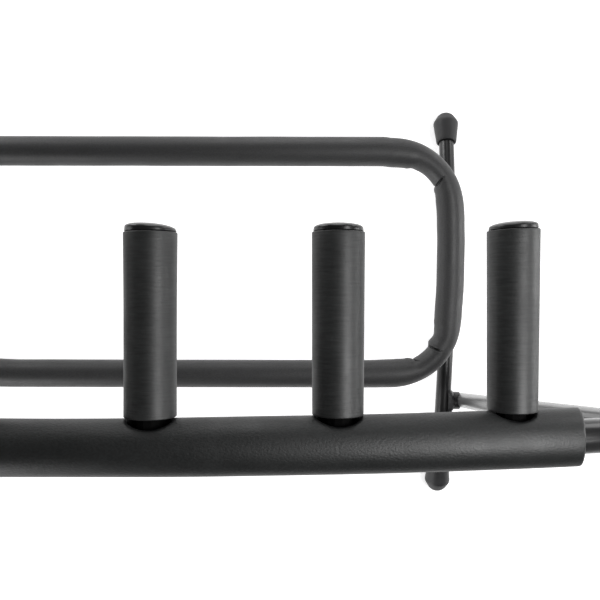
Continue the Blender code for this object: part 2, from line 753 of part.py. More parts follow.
def peg_frame(index):
    """The peg's seat on the bar's axis: Z out along the peg, X along the bar."""
    arc = PEG_PITCH * (index - (PEG_COUNT - 1) / 2)
    bar = arch_frame(arc)
    upright = bar.to_3x3() @ UP
    along = FORWARD * math.cos(PEG_TILT) + upright * math.sin(PEG_TILT)
    return frame_on(bar.translation, along, bar.to_3x3() @ Vector((1, 0, 0)))


def make_neck_foam(coats, pivot):
    """The bar's foam sleeve with eased rims and a punched hole, wider than its tube, for each peg."""
    points = arch_points()
    half = NECK_FOAM_LENGTH / 2 - FOAM_RIM
    points[1:1] = [arch_frame(-half).translation]
    points[-1:-1] = [arch_frame(half).translation]
    radii = [NECK_FOAM_R] * len(points)
    radii[0] = radii[-1] = NECK_FOAM_R - FOAM_RIM
    bm = bmesh.new()
    sweep(bm, points, radii, SEAT_R, TUBE_SIDES)
    foam = finish("neck_foam", bm, coats["foam"], pivot)
    holes = bmesh.new()
    for index in range(PEG_COUNT):
        matrix = peg_frame(index)
        out = matrix.to_3x3() @ Vector((0, 0, 2 * NECK_FOAM_R))
        drill(holes, matrix.translation, matrix.translation + out, PEG_HOLE_OD / 2)
    cut(foam, "cut_neck_foam", holes)


def make_peg(index, coats, pivot):
    """A peg: a tube coped to the bar, its foam sleeve and its domed cap."""
    number = index + 1
    matrix = peg_frame(index)
    cap_at = PEG_REACH - PEG_CAP_HEIGHT
    tube_end = cap_at - GAP
    axis = matrix.to_3x3() @ Vector((0, 0, 1))
    start = matrix.translation
    bore = PEG_TUBE_OD / 2 - PEG_TUBE_WALL

    bm = bmesh.new()
    tube(bm, [start, start + axis * tube_end], PEG_TUBE_OD / 2, bore, SMALL_SIDES)
    peg = finish(f"peg_tube_{number}", bm, coats["gloss"], pivot)
    cope = bmesh.new()
    along = matrix.to_3x3() @ Vector((PEG_TUBE_OD, 0, 0))
    drill(cope, start - along, start + along, SEAT_R, 2 * SMALL_SIDES)
    cut(peg, f"cut_peg_tube_{number}", cope)

    radius = PEG_FOAM_OD / 2
    foam_bore = corner_radius(PEG_TUBE_OD / 2 + GAP, TUBE_SIDES)
    foam_start = NECK_FOAM_R + GAP
    rim = FOAM_RIM / 2
    profile = [
        (foam_bore, foam_start),
        (radius, foam_start),
        (radius, tube_end - rim),
        (radius - rim, tube_end),
        (foam_bore, tube_end),
    ]
    bm = bmesh.new()
    revolve(bm, matrix, profile, TUBE_SIDES, through=True)
    finish(f"peg_foam_{number}", bm, coats["foam"], pivot)

    cap_r = PEG_CAP_OD / 2
    crown = PEG_CAP_HEIGHT - PEG_CAP_RIM
    profile = [(0, cap_at - PEG_CAP_STEM), (bore - GAP, cap_at - PEG_CAP_STEM), (bore - GAP, cap_at),
               (cap_r, cap_at), (cap_r, cap_at + PEG_CAP_RIM)]
    for degrees in PEG_CAP_DOME_DEGREES:
        angle = math.radians(degrees)
        profile.append((cap_r * math.cos(angle), cap_at + PEG_CAP_RIM + crown * math.sin(angle)))
    profile.append((0, PEG_REACH))
    bm = bmesh.new()
    revolve(bm, matrix, profile, TUBE_SIDES)
    finish(f"peg_cap_{number}", bm, coats["plastic"], pivot)


def main():
    clear_scene()
    coats = {
        "gloss": material("gloss_black_paint", (0.012, 0.012, 0.013), 0.18, 0.0),
        "foam": material("black_foam", (0.035, 0.035, 0.037), 0.85, 0.0),
        "plastic": material("black_plastic", (0.015, 0.015, 0.016), 0.35, 0.0),
        "rubber": material("black_rubber", (0.025, 0.025, 0.026), 0.7, 0.0),
        "zinc": material("zinc_steel", (0.55, 0.56, 0.58), 0.35, 1.0),
    }
    pivot = bpy.data.objects.new("neck_frame_pivot", None)
    pivot.location = PIVOT
    bpy.context.scene.collection.objects.link(pivot)

    for side, label in ((-1, "left"), (1, "right")):
        make_foot(side, label, coats)
        for end, end_label in ((-1, "front"), (1, "rear")):
            make_cap(side, label, end, end_label, coats)
            make_post(side, label, POST_YS[end_label], end_label, coats)
            make_post_fasteners(side, label, POST_YS[end_label], end_label, coats)
        make_foot_saddle(side, label, coats)
        make_leg_saddle(side, label, coats, pivot)
        make_pivot_fasteners(side, label, coats, pivot)
        make_leg_plug(side, label, coats, pivot)
    make_cradle(coats)
    make_neck_tube(coats, pivot)
    make_neck_foam(coats, pivot)
    for index in range(PEG_COUNT):
        make_peg(index, coats, pivot)


main()
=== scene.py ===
"""Looks of the folding guitar rack: fine foam, paint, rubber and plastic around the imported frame."""

import json
import math

import bmesh
import bpy
from mathutils import Matrix, Vector, noise

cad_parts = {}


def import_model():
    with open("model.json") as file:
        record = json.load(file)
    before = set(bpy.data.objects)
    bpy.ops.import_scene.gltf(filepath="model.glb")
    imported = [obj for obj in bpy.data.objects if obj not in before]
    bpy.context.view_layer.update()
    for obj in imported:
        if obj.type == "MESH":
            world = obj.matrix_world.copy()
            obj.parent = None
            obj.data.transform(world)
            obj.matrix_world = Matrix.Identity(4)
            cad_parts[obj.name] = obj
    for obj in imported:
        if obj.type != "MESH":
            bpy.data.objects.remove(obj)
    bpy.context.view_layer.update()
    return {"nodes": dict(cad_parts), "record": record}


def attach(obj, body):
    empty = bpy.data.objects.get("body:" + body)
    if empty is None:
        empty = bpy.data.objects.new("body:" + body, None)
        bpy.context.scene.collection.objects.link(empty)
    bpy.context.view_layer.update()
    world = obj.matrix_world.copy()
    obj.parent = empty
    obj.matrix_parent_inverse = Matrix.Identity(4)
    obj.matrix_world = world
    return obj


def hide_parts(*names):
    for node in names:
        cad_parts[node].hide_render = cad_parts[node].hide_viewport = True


# Sizes of the solids that the fine pieces stand for, in metres
TUBE_R = 0.010
GAP = 0.0003
SEAT_R = TUBE_R + GAP
CRADLE_FOAM_R = 0.0165
NECK_FOAM_R = 0.0158

FOOT_SPREAD = 0.3244
FOOT_SPAN = 0.4362
FOOT_TOE_OUT = 0.0226
FOOT_ARC_RADIUS = 0.767
FOOT_END_Y = FOOT_SPAN / 2
FOOT_END_SLOPE = math.asin(FOOT_END_Y / FOOT_ARC_RADIUS)
CAP_LENGTH = 0.0444
CAP_BORE_DEPTH = 0.028
CAP_MOUTH_WALL = 0.0028
CAP_LIP_HEIGHT = 0.0004
CAP_FLARE_RADIUS = 0.0171
CAP_FLARE_AT = 0.0268
CAP_DOME_POWER = 1.18
CAP_DOME_DEGREES = (25, 48, 70)
CAP_FLAT_DEPTH = 0.0010
CAP_CORNER_AT = 0.0293
CAP_CONE = math.radians(30)

CRADLE_SPREAD = 0.3088
CRADLE_FRONT_Y = -0.1771
CRADLE_REAR_Y = 0.0873
CRADLE_FRONT_HEIGHT = 0.163
CRADLE_REAR_HEIGHT = 0.141
CRADLE_CORNER = 0.070
POST_R = 0.008
POST_YS = {"front": -0.085, "rear": 0.002}

PIVOT_Y = 0.1328
LEG_X = 0.3487
NECK_Y = 0.0761
NECK_HEIGHT = 0.640
NECK_ARC_RADIUS = 1.277
NECK_ARC_LENGTH = 0.604
NECK_BEND_RADIUS = 0.065
NECK_FOAM_LENGTH = 0.5710
LEG_TAIL = 0.016

PEG_COUNT = 6
PEG_PITCH = 0.0999
PEG_TILT = math.radians(0.5)
PEG_REACH = 0.1198
PEG_TUBE_R = 0.008
PEG_HOLE_HALF_WIDTH = 0.0128
PEG_HOLE_HALF_HEIGHT = 0.0095
PEG_HOLE_RISE = 0.0009
PEG_HOLE_LIP = 0.0018
PEG_CAP_R = 0.0136
PEG_CAP_HEIGHT = 0.0045

# Foam as it lies: a little slack or full here and there
NECK_FOAM_MIDDLE_R = 0.0152
NECK_FOAM_SWELL = 0.0010
NECK_FOAM_FULL = 0.0004
NECK_FOAM_SAG = 0.0003
NECK_FOAM_EDGE = 0.0015
NECK_CUT_SLOPE = math.tan(math.radians(22))
NECK_CUT_REACH = 0.025
NECK_FOAM_SIDES = 96
PEG_FOAM_ROOT_R = 0.0139
PEG_FOAM_TIPS = (0.0146, 0.01435, 0.0142, 0.0142, 0.01435, 0.0145)
PEG_FOAM_WAISTS = (0.0, 0.0, 0.0002, 0.0001, 0.0, 0.0001)
PEG_FOAM_RIM = 0.0006
PEG_END_SLOPES = (-0.045, 0.0, 0.0, 0.01, -0.02, 0.02)
PEG_DOME_SLOPES = (-0.03, 0.0, 0.065, -0.02, 0.02, 0.04)
PEG_TRIMS = (0.0023, -0.0004, -0.0016, -0.0006, 0.0009, -0.0007)
CRADLE_FRONT_R = 0.0172
CRADLE_SIDE_R = 0.0163
CRADLE_REAR_R = 0.0167

# The foam at the cradle's bends, from the side bar to the front or rear bar: how far the sleeve leans inward,
# how far its inner side is drawn in, and its folds
FRONT_LEAN = ((-0.35, 0.0), (-0.1, 0.0008), (0.05, 0.0015), (0.35, 0.0007), (0.7, 0.0006), (1.0, 0.0012), (1.12, 0.0))
REAR_LEAN = ((-0.4, 0.0), (0.05, 0.0019), (0.28, 0.0006), (0.5, -0.0003), (0.8, 0.0), (1.0, 0.0003), (1.3, 0.0))
FRONT_BEND = ((0.1, 0.0), (0.28, 0.0020), (0.36, 0.0048), (0.53, 0.0045), (0.72, 0.0032), (0.82, 0.0005), (0.95, 0.0))
REAR_BEND = ((0.08, 0.0), (0.16, 0.0012), (0.27, 0.0030), (0.37, 0.0012), (0.45, 0.0046), (0.68, 0.0046),
             (0.77, 0.0008), (0.92, -0.0010), (1.3, 0.0))
# share of the bend, its shift from the inner side to the top, depth, the widths of its two banks, where it ends
# towards the top and the share of its depth that is left at the very inside
FRONT_FOLDS = ((0.344, 0.049, 0.0052, 0.0024, 0.0010, -0.05, 0.25),)
REAR_FOLDS = ((0.420, -0.034, 0.0050, 0.0016, 0.0020, -0.08, 0.0), (0.700, -0.12, 0.0022, 0.0014, 0.0014, 0.45, 0.6))
BEND_STRETCH = 0.0013

# Fineness
SIDES = 56
STEP = 0.003
CREASE_STEP = 0.0004
CREASE_REACH = 0.003
SHARES = [k / 32 for k in range(33)]
FOAM_EDGE = 0.0022

# The photograph's camera: straight down, its picture's top towards the front
CAMERA_PLACE = (-0.1290, -0.0018, 1.0258)
CAMERA_LENS = 43.86
CAMERA_SENSOR = 36

# Name, place, aim, size and power of the studio's lights
AIM = (-0.15, 0.0, 0.4)
NEAR_AIM = (-0.25, 0.05, 0.5)
LIGHTS = (
    ("low_front", (-0.15, -1.895, 0.533), AIM, (0.9, 0.8), 8.4),
    ("high_front", (-0.15, -1.678, 1.292), AIM, (0.9, 0.8), 2.9),
    ("low_front_left", (1.190, -1.340, 0.533), AIM, (0.9, 0.8), 12.3),
    ("low_front_right", (-1.490, -1.340, 0.533), AIM, (0.9, 0.8), 7.7),
    ("low_left", (1.745, 0.0, 0.533), AIM, (0.9, 0.8), 5.5),
    ("low_rear_left", (1.190, 1.340, 0.533), AIM, (0.9, 0.8), 17.9),
    ("low_right", (-2.045, 0.0, 0.533), AIM, (0.9, 0.8), 16.1),
    ("near_right", (-0.57, 0.12, 1.13), NEAR_AIM, (0.3, 0.3), 2.5),
    ("near_front_right", (-0.7, -0.25, 1.3), NEAR_AIM, (0.3, 0.3), 1.8),
    ("near_rear_right", (-0.72, 0.38, 1.3), NEAR_AIM, (0.35, 0.35), 3.3),
)

# The pale bowl round the floor: its hole, which holds all that the photograph shows of the floor, and its walls
BACKDROP_HOLE = 0.85
BACKDROP_LIFT = 0.0005
BACKDROP_REACH = 6.0
BACKDROP_BEND = 2.5
BACKDROP_HEIGHT = 6.0

BASE = "base"
NECK = "neck_frame"


# Materials


def nodes_of(name, roughness, metallic=0.0, coat=0.0, coat_roughness=0.05, specular=0.5, sheen=0.0):
    """A material with its shader's plain values set on the shader itself."""
    made = bpy.data.materials.new(name)
    made.use_nodes = True
    tree = made.node_tree
    shader = tree.nodes["Principled BSDF"]
    shader.inputs["Roughness"].default_value = roughness
    shader.inputs["Metallic"].default_value = metallic
    shader.inputs["Coat Weight"].default_value = coat
    shader.inputs["Coat Roughness"].default_value = coat_roughness
    shader.inputs["Specular IOR Level"].default_value = specular
    shader.inputs["Sheen Weight"].default_value = sheen
    shader.inputs["Sheen Roughness"].default_value = 0.45
    return made, tree, shader


def noise_node(tree, scale, detail=3.0, roughness=0.55, stretch=(1, 1, 1)):
    """Noise over the piece's own coordinates."""
    place = tree.nodes.new("ShaderNodeTexCoord")
    mapping = tree.nodes.new("ShaderNodeMapping")
    mapping.inputs["Scale"].default_value = stretch
    texture = tree.nodes.new("ShaderNodeTexNoise")
    texture.inputs["Scale"].default_value = scale
    texture.inputs["Detail"].default_value = detail
    texture.inputs["Roughness"].default_value = roughness
    tree.links.new(place.outputs["Object"], mapping.inputs["Vector"])
    tree.links.new(mapping.outputs["Vector"], texture.inputs["Vector"])
    return texture


def tint(tree, shader, source, dark, light, low=0.35, high=0.65):
    """The base colour, from dark to light as the noise rises."""
    ramp = tree.nodes.new("ShaderNodeValToRGB")
    ramp.color_ramp.elements[0].position = low
    ramp.color_ramp.elements[1].position = high
    ramp.color_ramp.elements[0].color = (*dark, 1)
    ramp.color_ramp.elements[1].color = (*light, 1)
    tree.links.new(source.outputs["Fac"], ramp.inputs["Fac"])
    tree.links.new(ramp.outputs["Color"], shader.inputs["Base Color"])


def vary_roughness(tree, shader, source, low, high):
    spread = tree.nodes.new("ShaderNodeMapRange")
    spread.inputs["From Min"].default_value = 0.3
    spread.inputs["From Max"].default_value = 0.7
    spread.inputs["To Min"].default_value = low
    spread.inputs["To Max"].default_value = high
    tree.links.new(source.outputs["Fac"], spread.inputs["Value"])
    tree.links.new(spread.outputs["Result"], shader.inputs["Roughness"])


def bumps(tree, shader, sources):
    """Bump nodes in a chain, one for each (noise, strength, distance)."""
    last = None
    for source, strength, distance in sources:
        bump = tree.nodes.new("ShaderNodeBump")
        bump.inputs["Strength"].default_value = strength
        bump.inputs["Distance"].default_value = distance
        tree.links.new(source.outputs["Fac"], bump.inputs["Height"])
        if last:
            tree.links.new(last.outputs["Normal"], bump.inputs["Normal"])
        last = bump
    tree.links.new(last.outputs["Normal"], shader.inputs["Normal"])


def foam_material(name, dark, light, stretch):
    """Closed-cell foam: fine cells, faint mottling and a soft shine."""
    made, tree, shader = nodes_of(name, 0.49, specular=0.5)
    cells = noise_node(tree, 1000, detail=2.0, stretch=stretch)
    mottle = noise_node(tree, 45, detail=4.0)
    tint(tree, shader, cells, dark, light, 0.3, 0.7)
    vary_roughness(tree, shader, mottle, 0.44, 0.54)
    bumps(tree, shader, [(mottle, 0.09, 0.0006), (cells, 0.6, 0.0003)])
    return made


def paint_material(name, low, high, sheen=0.0):
    """Gloss black powder coat with a faint orange peel."""
    made, tree, shader = nodes_of(name, (low + high) / 2, sheen=sheen)
    peel = noise_node(tree, 420, detail=1.0)
    haze = noise_node(tree, 28, detail=3.0)
    tint(tree, shader, haze, (0.006, 0.006, 0.0062), (0.011, 0.011, 0.0115))
    vary_roughness(tree, shader, haze, low, high)
    bumps(tree, shader, [(peel, 0.05, 0.0002)])
    return made


def plastic_material(name, roughness, dark, light, specular=0.5):
    """Moulded plastic with a fine spark-eroded grain."""
    made, tree, shader = nodes_of(name, roughness, specular=specular)
    grain = noise_node(tree, 2200, detail=2.0)
    haze = noise_node(tree, 60, detail=3.0)
    tint(tree, shader, haze, dark, light)
    vary_roughness(tree, shader, haze, roughness * 0.85, roughness * 1.15)
    bumps(tree, shader, [(grain, 0.12, 0.0001)])
    return made


def rubber_material():
    made, tree, shader = nodes_of("rubber", 0.5, specular=0.45)
    grain = noise_node(tree, 900, detail=3.0)
    bloom = noise_node(tree, 35, detail=4.0)
    tint(tree, shader, bloom, (0.012, 0.012, 0.0125), (0.024, 0.024, 0.025))
    vary_roughness(tree, shader, bloom, 0.42, 0.6)
    bumps(tree, shader, [(grain, 0.15, 0.0002)])
    return made


def zinc_material():
    made, tree, shader = nodes_of("zinc", 0.32, metallic=1.0)
    brushed = noise_node(tree, 700, detail=3.0, stretch=(1, 1, 6))
    cloud = noise_node(tree, 90, detail=3.0)
    tint(tree, shader, cloud, (0.42, 0.43, 0.44), (0.60, 0.61, 0.63))
    vary_roughness(tree, shader, cloud, 0.26, 0.42)
    bumps(tree, shader, [(brushed, 0.1, 0.0001)])
    return made


def floor_material():
    made, tree, shader = nodes_of("floor", 0.75, specular=0.2)
    cloud = noise_node(tree, 3, detail=2.0)
    tint(tree, shader, cloud, (0.86, 0.86, 0.86), (0.90, 0.90, 0.90))
    shader.inputs["Emission Color"].default_value = (1, 1, 1, 1)
    # The glow fades away from the object
    place_at = tree.nodes.new("ShaderNodeTexCoord")
    away = tree.nodes.new("ShaderNodeVectorMath")
    away.operation = "LENGTH"
    fade = tree.nodes.new("ShaderNodeMapRange")
    fade.interpolation_type = "SMOOTHSTEP"
    fade.inputs["From Min"].default_value = 0.75
    fade.inputs["From Max"].default_value = 1.2
    fade.inputs["To Min"].default_value = 0.62
    fade.inputs["To Max"].default_value = 0.0
    tree.links.new(place_at.outputs["Object"], away.inputs[0])
    tree.links.new(away.outputs["Value"], fade.inputs["Value"])
    tree.links.new(fade.outputs["Result"], shader.inputs["Emission Strength"])
    return made


def backdrop_material():
    """Pale light that greys a little towards the top."""
    made, tree, shader = nodes_of("backdrop", 1.0, specular=0.0)
    shader.inputs["Base Color"].default_value = (0, 0, 0, 1)
    shader.inputs["Emission Color"].default_value = (1, 1, 1, 1)
    place_at = tree.nodes.new("ShaderNodeTexCoord")
    parts = tree.nodes.new("ShaderNodeSeparateXYZ")
    fade = tree.nodes.new("ShaderNodeMapRange")
    fade.interpolation_type = "SMOOTHSTEP"
    fade.inputs["From Min"].default_value = 0.0
    fade.inputs["From Max"].default_value = BACKDROP_HEIGHT
    fade.inputs["To Min"].default_value = 1.0
    fade.inputs["To Max"].default_value = 0.72
    tree.links.new(place_at.outputs["Object"], parts.inputs["Vector"])
    tree.links.new(parts.outputs["Z"], fade.inputs["Value"])
    tree.links.new(fade.outputs["Result"], shader.inputs["Emission Strength"])
    return made


# Mesh building


def frame_on(origin, along, side_hint):
    """The matrix whose Z runs along a direction and whose X lies nearest to side_hint."""
    z = along.normalized()
    y = z.cross(side_hint).normalized()
    x = y.cross(z)
    return Matrix.Translation(origin) @ Matrix((x, y, z)).transposed().to_4x4()


def bridge(bm, first, second):
    count = len(first)
    for k in range(count):
        n = (k + 1) % count
        bm.faces.new((first[k], first[n], second[n], second[k]))


def carve(obj, bm):
    """Takes the closed shapes in bm out of the object's mesh."""
    bmesh.ops.recalc_face_normals(bm, faces=bm.faces)
    shapes = bpy.data.meshes.new("carving")
    bm.to_mesh(shapes)
    bm.free()
    cutter = bpy.data.objects.new("carving", shapes)
    bpy.context.scene.collection.objects.link(cutter)
    modifier = obj.modifiers.new("carving", "BOOLEAN")
    modifier.operation = "DIFFERENCE"
    modifier.solver = "EXACT"
    modifier.object = cutter
    graph = bpy.context.evaluated_depsgraph_get()
    whole = obj.data
    obj.data = bpy.data.meshes.new_from_object(obj.evaluated_get(graph))
    obj.modifiers.clear()
    bpy.data.objects.remove(cutter)
    bpy.data.meshes.remove(shapes)
    bpy.data.meshes.remove(whole)


def place(name, bm, body, slot, coat, nodes=(), smooth=40, holes=None):
    """Makes the object, hands it to its body and hides the solids that it stands for."""
    bmesh.ops.recalc_face_normals(bm, faces=bm.faces)
    mesh = bpy.data.meshes.new(name)
    bm.to_mesh(mesh)
    bm.free()
    mesh.materials.append(coat)
    obj = bpy.data.objects.new(name, mesh)
    bpy.context.scene.collection.objects.link(obj)
    if holes:
        carve(obj, holes)
    obj.data.shade_smooth()
    obj.data.set_sharp_from_angle(angle=math.radians(smooth))
    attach(obj, body)
    if nodes:
        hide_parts(*nodes)
    return obj


def resample(points, step):
    """The path's points with long stretches cut into steps. Corners stay."""
    fine = [points[0]]
    for start, stop in zip(points, points[1:]):
        count = max(1, round((stop - start).length / step))
        fine += [start.lerp(stop, (k + 1) / count) for k in range(count)]
    return fine


def sweep(points, hint, radius_at, bore=0.0, sides=SIDES, shift_at=None):
    """A tube along the points. radius_at(point, length, angle) gives its outside, with the angle from the hint.
    shift_at(length, angle, radius) moves its points along it."""
    bm = bmesh.new()
    count = len(points)
    length = 0.0
    outer = []
    inner = []
    for k, point in enumerate(points):
        if k:
            length += (point - points[k - 1]).length
        tangent = points[min(k + 1, count - 1)] - points[max(k - 1, 0)]
        matrix = frame_on(point, tangent, hint)
        hint = matrix.to_3x3() @ Vector((1, 0, 0))
        outer.append([])
        inner.append([])
        for n in range(sides):
            a = 2 * math.pi * n / sides
            for radius, loops in ((radius_at(point, length, a), outer), (bore, inner)):
                if radius:
                    z = shift_at(length, a, radius) if shift_at else 0.0
                    corner = Vector((radius * math.cos(a), radius * math.sin(a), z))
                    loops[-1].append(bm.verts.new(matrix @ corner))
    for first, second in zip(outer, outer[1:]):
        bridge(bm, first, second)
    if bore:
        for first, second in zip(inner, inner[1:]):
            bridge(bm, second, first)
        bridge(bm, inner[0], outer[0])
        bridge(bm, outer[-1], inner[-1])
    else:
        bm.faces.new(outer[0][::-1])
        bm.faces.new(outer[-1])
    return bm


def revolve(matrix, profile, sides=SIDES, through=False, into=None):
    """A turned solid about the matrix's Z from (radius, z) points, in a new mesh or added to one."""
    bm = into or bmesh.new()
    loops = []
    for radius, z in profile:
        if radius:
            turns = (2 * math.pi * n / sides for n in range(sides))
            loops.append([bm.verts.new(matrix @ Vector((radius * math.cos(a), radius * math.sin(a), z)))
                          for a in turns])
        else:
            loops.append([bm.verts.new(matrix @ Vector((0, 0, z)))])
    pairs = list(zip(loops, loops[1:]))
    if through:
        pairs.append((loops[-1], loops[0]))
    for first, second in pairs:
        if len(first) == len(second):
            bridge(bm, first, second)
            continue
        point, circle = (first[0], second) if len(first) == 1 else (second[0], first)
        for n in range(sides):
            bm.faces.new((point, circle[(n + 1) % sides], circle[n]))
    return bm


def arc_between(corner, back, ahead, radius, shares=SHARES):
    """Points of the fillet between two unit directions that leave the corner, at shares of its turn."""
    half = back.angle(ahead) / 2
    centre = corner + (back + ahead).normalized() * (radius / math.sin(half))
    start = corner + back * (radius / math.tan(half)) - centre
    axis = ahead.cross(back).normalized()
    turn = math.pi - 2 * half
    return [centre + Matrix.Rotation(turn * share, 3, axis) @ start for share in shares]


def smooth_step(value):
    """0 below 0, 1 above 1 and an even rise between."""
    held = min(max(value, 0.0), 1.0)
    return held * held * (3 - 2 * held)


def along_points(points, at):
    """The value at a place between (place, value) points, with eased steps and the end values beyond."""
    if at <= points[0][0]:
        return points[0][1]
    for (start, low), (stop, high) in zip(points, points[1:]):
        if at <= stop:
            return low + (high - low) * smooth_step((at - start) / (stop - start))
    return points[-1][1]


def quarter(radius, z, rim, steps=6, outward=1):
    """(radius, z) points of a rounded edge that ends at z."""
    points = []
    for k in range(steps + 1):
        a = math.pi / 2 * k / steps
        points.append((radius - rim + rim * math.cos(a), z - outward * rim * (1 - math.sin(a))))
    return points


# Feet


def cap_dome(degrees):
    """(radius, z) of the cap's rounded end at an angle from its widest ring."""
    a = math.radians(degrees)
    rise = (CAP_LENGTH - CAP_FLARE_AT) * math.sin(a) ** CAP_DOME_POWER
    return CAP_FLARE_RADIUS * math.cos(a) ** CAP_DOME_POWER, CAP_FLARE_AT + rise


def cap_profile():
    """A taper that widens to a soft corner, then a cone with a round end."""
    mouth = SEAT_R + CAP_MOUTH_WALL + CAP_LIP_HEIGHT
    points = [(0, CAP_BORE_DEPTH), (SEAT_R, CAP_BORE_DEPTH), (SEAT_R, 0.0016), (SEAT_R + 0.0011, 0)]
    points += [(mouth - 0.0007, 0), (mouth - 0.0002, 0.0002), (mouth, 0.0007)]
    apex = CAP_CORNER_AT + CAP_FLARE_RADIUS / math.tan(CAP_CONE)
    end_r = (apex - CAP_LENGTH) / (1 / math.sin(CAP_CONE) - 1)
    before = Vector((CAP_FLARE_RADIUS, CAP_CORNER_AT)).lerp(Vector((mouth, 0.0007)), 0.09)
    corner = Vector((CAP_FLARE_RADIUS, CAP_CORNER_AT))
    after = Vector((end_r * math.cos(CAP_CONE), CAP_LENGTH - end_r + end_r * math.sin(CAP_CONE)))
    soft = corner.lerp(after, 0.28)
    points += [tuple(Vector((mouth, 0.0007)).lerp(before, k / 6)) for k in range(1, 6)]
    for k in range(9):
        share = k / 8
        points.append(tuple(before.lerp(corner, share).lerp(corner.lerp(soft, share), share)))
    points += [tuple(soft.lerp(after, k / 3)) for k in range(1, 3)]
    for k in range(11):
        a = CAP_CONE + (math.pi / 2 - CAP_CONE) * k / 11
        points.append((end_r * math.cos(a), CAP_LENGTH - end_r + end_r * math.sin(a)))
    return [*points, (0, CAP_LENGTH)]


def foot_crown():
    """Height of a foot tube's axis at its middle, with its caps' flats on the floor."""
    slope = FOOT_END_SLOPE
    rings = [cap_dome(degrees) for degrees in (0, *CAP_DOME_DEGREES)]
    reach = max(z * math.sin(slope) + radius * math.cos(slope) for radius, z in rings)
    return FOOT_ARC_RADIUS * (1 - math.cos(slope)) + reach - CAP_FLAT_DEPTH


FOOT_CROWN = foot_crown()


def foot_point(side, y):
    drop = FOOT_ARC_RADIUS - math.sqrt(FOOT_ARC_RADIUS**2 - y**2)
    return Vector((side * (FOOT_SPREAD - FOOT_TOE_OUT * y), y, FOOT_CROWN - drop))


def foot_tangent(side, y):
    rise = -y / math.sqrt(FOOT_ARC_RADIUS**2 - y**2)
    return Vector((-side * FOOT_TOE_OUT, 1, rise)).normalized()


PIVOT = Vector((0, PIVOT_Y, foot_point(1, PIVOT_Y).z))


def make_foot(side, label, coats):
    count = 80
    points = [foot_point(side, FOOT_END_Y * (2 * k / count - 1)) for k in range(count + 1)]
    seat = CAP_BORE_DEPTH - GAP
    points.insert(0, points[0] - foot_tangent(side, -FOOT_END_Y) * seat)
    points.append(points[-1] + foot_tangent(side, FOOT_END_Y) * seat)
    bm = sweep(points, Vector((0, 0, 1)), lambda point, length, a: TUBE_R)
    place(f"fine_foot_tube_{label}", bm, BASE, "gloss_black_paint", coats["paint"], [f"foot_tube_{label}"])
    for way, end_label in ((-1, "front"), (1, "rear")):
        mouth = foot_point(side, way * FOOT_END_Y)
        outward = foot_tangent(side, mouth.y) * way
        bm = revolve(frame_on(mouth, outward, Vector((1, 0, 0))), cap_profile())
        for vert in bm.verts:
            vert.co.z = max(vert.co.z, 0.0)
        name = f"foot_cap_{end_label}_{label}"
        place(f"fine_{name}", bm, BASE, "black_rubber", coats["rubber"], [name])


# Cradle


def cradle_point(x, y):
    share = (y - CRADLE_FRONT_Y) / (CRADLE_REAR_Y - CRADLE_FRONT_Y)
    return Vector((x, y, CRADLE_FRONT_HEIGHT + share * (CRADLE_REAR_HEIGHT - CRADLE_FRONT_HEIGHT)))


def cradle_slope():
    return (cradle_point(0, CRADLE_REAR_Y) - cradle_point(0, CRADLE_FRONT_Y)).normalized()


def cradle_corner(side, end):
    """The bend between a side bar and the front (-1) or rear (1) bar, side first, with close points at its creases."""
    corner = cradle_point(side * CRADLE_SPREAD, CRADLE_FRONT_Y if end < 0 else CRADLE_REAR_Y)
    bend = CRADLE_CORNER * math.pi / 2
    shares = {k / 40 for k in range(41)}
    for fold in FRONT_FOLDS if end < 0 else REAR_FOLDS:
        low, high = sorted((fold[0], fold[0] + 1.3 * fold[1]))
        count = math.ceil(((high - low) * bend + 2 * CREASE_REACH) / CREASE_STEP)
        shares |= {low + (k * CREASE_STEP - CREASE_REACH) / bend for k in range(count + 1)}
    return arc_between(corner, cradle_slope() * -end, Vector((-side, 0, 0)), CRADLE_CORNER, sorted(shares))


def cradle_base_radius(y):
    """The sleeve's radius, which differs between the front bar, the sides and the rear bar."""
    front = smooth_step((CRADLE_FRONT_Y + CRADLE_CORNER - y) / CRADLE_CORNER)
    rear = smooth_step((y - CRADLE_REAR_Y + CRADLE_CORNER) / CRADLE_CORNER)
    return CRADLE_SIDE_R + (CRADLE_FRONT_R - CRADLE_SIDE_R) * front + (CRADLE_REAR_R - CRADLE_SIDE_R) * rear


def bend_change(at, span, inward, lean, drawn, folds):
    """What a bend does to the sleeve's radius at a share of the bend. Inward is 1 on the inner side, -1 outside."""
    inner = max(0.0, (inward + 0.6) / 1.6) ** 1.5
    change = along_points(lean, at) * inward
    change -= along_points(drawn, at) * inner
    change -= BEND_STRETCH * max(0.0, -inward) * math.sin(math.pi * min(max(at, 0.0), 1.0))
    for share, shift, depth, side_bank, bar_bank, top, left in folds:
        off = (at - share - shift * (1 - inward)) * span
        bank = bar_bank if off > 0 else side_bank
        reach = smooth_step((inward - top) / 0.35) * (1 - (1 - left) * smooth_step((inward - 0.86) / 0.12))
        change -= depth * max(0.0, 1 - abs(off) / bank) * reach
    return change


